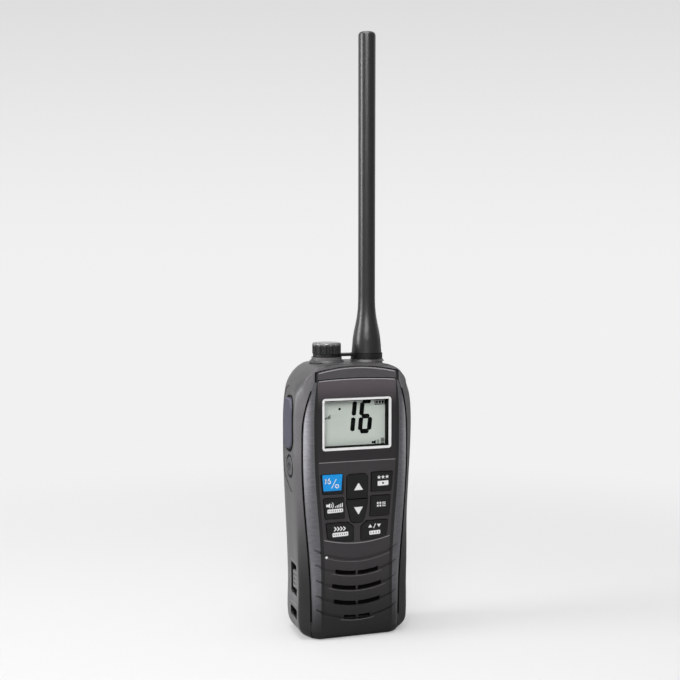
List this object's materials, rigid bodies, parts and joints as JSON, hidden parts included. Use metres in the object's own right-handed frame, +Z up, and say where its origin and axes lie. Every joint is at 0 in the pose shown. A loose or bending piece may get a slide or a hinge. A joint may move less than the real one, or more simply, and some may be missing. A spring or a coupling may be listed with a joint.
{
  "type": "handheld marine radio",
  "caption": "Handheld VHF marine radio with a display, keypad, speaker grille, side talk button, screw-on antenna, capped jack and removable battery pack.",
  "frame": {"origin": "middle of the foot, on the surface that the radio stands on", "axes": "+Z up along the antenna, +X across the radio, the front face looks along -Y"},
  "size_m": [0.0597, 0.0315, 0.2886],
  "materials": {
    "case_grey": "matte",
    "grip_grey": "matte",
    "front_black": "satin",
    "bezel_black": "gloss",
    "key_rubber": "matte",
    "key_blue": "matte",
    "frame_white": "matte",
    "clear_window": "gloss",
    "lcd_grey": "satin",
    "circuit_board": "satin",
    "plated_steel": "satin",
    "magnet_steel": "matte",
    "contact_brass": "satin",
    "seal_rubber": "matte",
    "speaker_paper": "matte",
    "speaker_cloth": "matte",
    "ptt_rubber": "matte",
    "latch_grey": "satin",
    "cell_wrap": "satin",
    "antenna_rubber": "matte"
  },
  "bodies": {
    "housing": {"main_case": "case_grey", "front_cover": "front_black", "brow_trim": "case_grey", "display_bezel": "bezel_black", "front_panel": "front_black", "left_grip": "grip_grey", "right_grip": "grip_grey", "window_frame": "frame_white", "window_lens": "clear_window", "display_well": "front_black", "lcd_panel": "lcd_grey", "backlight": "frame_white", "strobe_lens": "frame_white", "key_mat": "key_rubber", "dome_switches": "plated_steel", "main_board": "circuit_board", "rf_shields": "plated_steel", "speaker_frame": "plated_steel", "speaker_cone": "speaker_paper", "speaker_magnet": "magnet_steel", "grille_membrane": "speaker_cloth", "microphone": "plated_steel", "case_seal": "seal_rubber", "case_screws": "plated_steel", "contact_pins": "contact_brass", "side_switch_board": "circuit_board", "tact_switches": "plated_steel", "jack_socket": "contact_brass", "cap_tether": "seal_rubber", "antenna_socket": "contact_brass"},
    "battery": {"battery_shell": "case_grey", "battery_cells": "cell_wrap", "battery_terminals": "contact_brass", "battery_seal": "seal_rubber"},
    "key_channel": {"key_channel": "key_blue"},
    "key_favorite": {"key_favorite": "key_rubber"},
    "key_volume": {"key_volume": "key_rubber"},
    "key_select": {"key_select": "key_rubber"},
    "key_scan": {"key_scan": "key_rubber"},
    "key_power_level": {"key_power_level": "key_rubber"},
    "key_up": {"key_up": "key_rubber"},
    "key_down": {"key_down": "key_rubber"},
    "ptt": {"ptt_button": "ptt_rubber"},
    "power": {"power_button": "ptt_rubber"},
    "latch_left": {"left_latch": "latch_grey"},
    "latch_right": {"right_latch": "latch_grey"},
    "cap_lift": {"cap_gasket": "seal_rubber"},
    "cap": {"jack_cap": "antenna_rubber"},
    "antenna_lift": {"antenna_gasket": "seal_rubber"},
    "antenna": {"antenna_sheath": "antenna_rubber", "antenna_core": "plated_steel", "antenna_connector": "contact_brass"}
  },
  "joints": [
    {"name": "key_channel_press", "type": "slide", "parent": "housing", "child": "key_channel", "axis": [0, 1, 0], "range_m": [0, 0.0007], "stiffness_N_per_m": 1500, "springref_m": -0.0004},
    {"name": "key_favorite_press", "type": "slide", "parent": "housing", "child": "key_favorite", "axis": [0, 1, 0], "range_m": [0, 0.0007], "stiffness_N_per_m": 1500, "springref_m": -0.0004},
    {"name": "key_volume_press", "type": "slide", "parent": "housing", "child": "key_volume", "axis": [0, 1, 0], "range_m": [0, 0.0007], "stiffness_N_per_m": 1500, "springref_m": -0.0004},
    {"name": "key_select_press", "type": "slide", "parent": "housing", "child": "key_select", "axis": [0, 1, 0], "range_m": [0, 0.0007], "stiffness_N_per_m": 1500, "springref_m": -0.0004},
    {"name": "key_scan_press", "type": "slide", "parent": "housing", "child": "key_scan", "axis": [0, 1, 0], "range_m": [0, 0.0007], "stiffness_N_per_m": 1500, "springref_m": -0.0004},
    {"name": "key_power_level_press", "type": "slide", "parent": "housing", "child": "key_power_level", "axis": [0, 1, 0], "range_m": [0, 0.0007], "stiffness_N_per_m": 1500, "springref_m": -0.0004},
    {"name": "key_up_press", "type": "slide", "parent": "housing", "child": "key_up", "axis": [0, 1, 0], "range_m": [0, 0.0007], "stiffness_N_per_m": 1500, "springref_m": -0.0004},
    {"name": "key_down_press", "type": "slide", "parent": "housing", "child": "key_down", "axis": [0, 1, 0], "range_m": [0, 0.0007], "stiffness_N_per_m": 1500, "springref_m": -0.0004},
    {"name": "ptt_press", "type": "slide", "parent": "housing", "child": "ptt", "axis": [1, 0, 0], "range_m": [0, 0.001], "stiffness_N_per_m": 2000, "springref_m": -0.0008},
    {"name": "power_press", "type": "slide", "parent": "housing", "child": "power", "axis": [1, 0, 0], "range_m": [0, 0.0006], "stiffness_N_per_m": 2000, "springref_m": -0.0006},
    {"name": "latch_left_slide", "type": "slide", "parent": "housing", "child": "latch_left", "axis": [0, 0, -1], "range_m": [0, 0.0024], "stiffness_N_per_m": 700, "springref_m": -0.0012},
    {"name": "latch_right_slide", "type": "slide", "parent": "housing", "child": "latch_right", "axis": [0, 0, -1], "range_m": [0, 0.0024], "stiffness_N_per_m": 700, "springref_m": -0.0012},
    {"name": "battery_slide", "type": "slide", "parent": "housing", "child": "battery", "axis": [0, 1, 0], "range_m": [0, 0.014]},
    {"name": "cap_lift_slide", "type": "slide", "parent": "housing", "child": "cap_lift", "axis": [0, 0, 1], "range_m": [0, 0.0025]},
    {"name": "cap_turn", "type": "hinge", "parent": "cap_lift", "child": "cap", "pos_m": [-0.009, 0.003, 0.1333], "axis": [0, 0, 1], "range_deg": [0, 900]},
    {"name": "antenna_lift_slide", "type": "slide", "parent": "housing", "child": "antenna_lift", "axis": [0, 0, 1], "range_m": [0, 0.0035]},
    {"name": "antenna_turn", "type": "hinge", "parent": "antenna_lift", "child": "antenna", "pos_m": [0.0115, 0.003, 0.1333], "axis": [0, 0, 1], "range_deg": [0, 1800]}
  ],
  "couplings": [
    {"joint": "cap_turn", "follows": "cap_lift_slide", "rad_per_m": 6283.2},
    {"joint": "antenna_turn", "follows": "antenna_lift_slide", "rad_per_m": 8976}
  ]
}
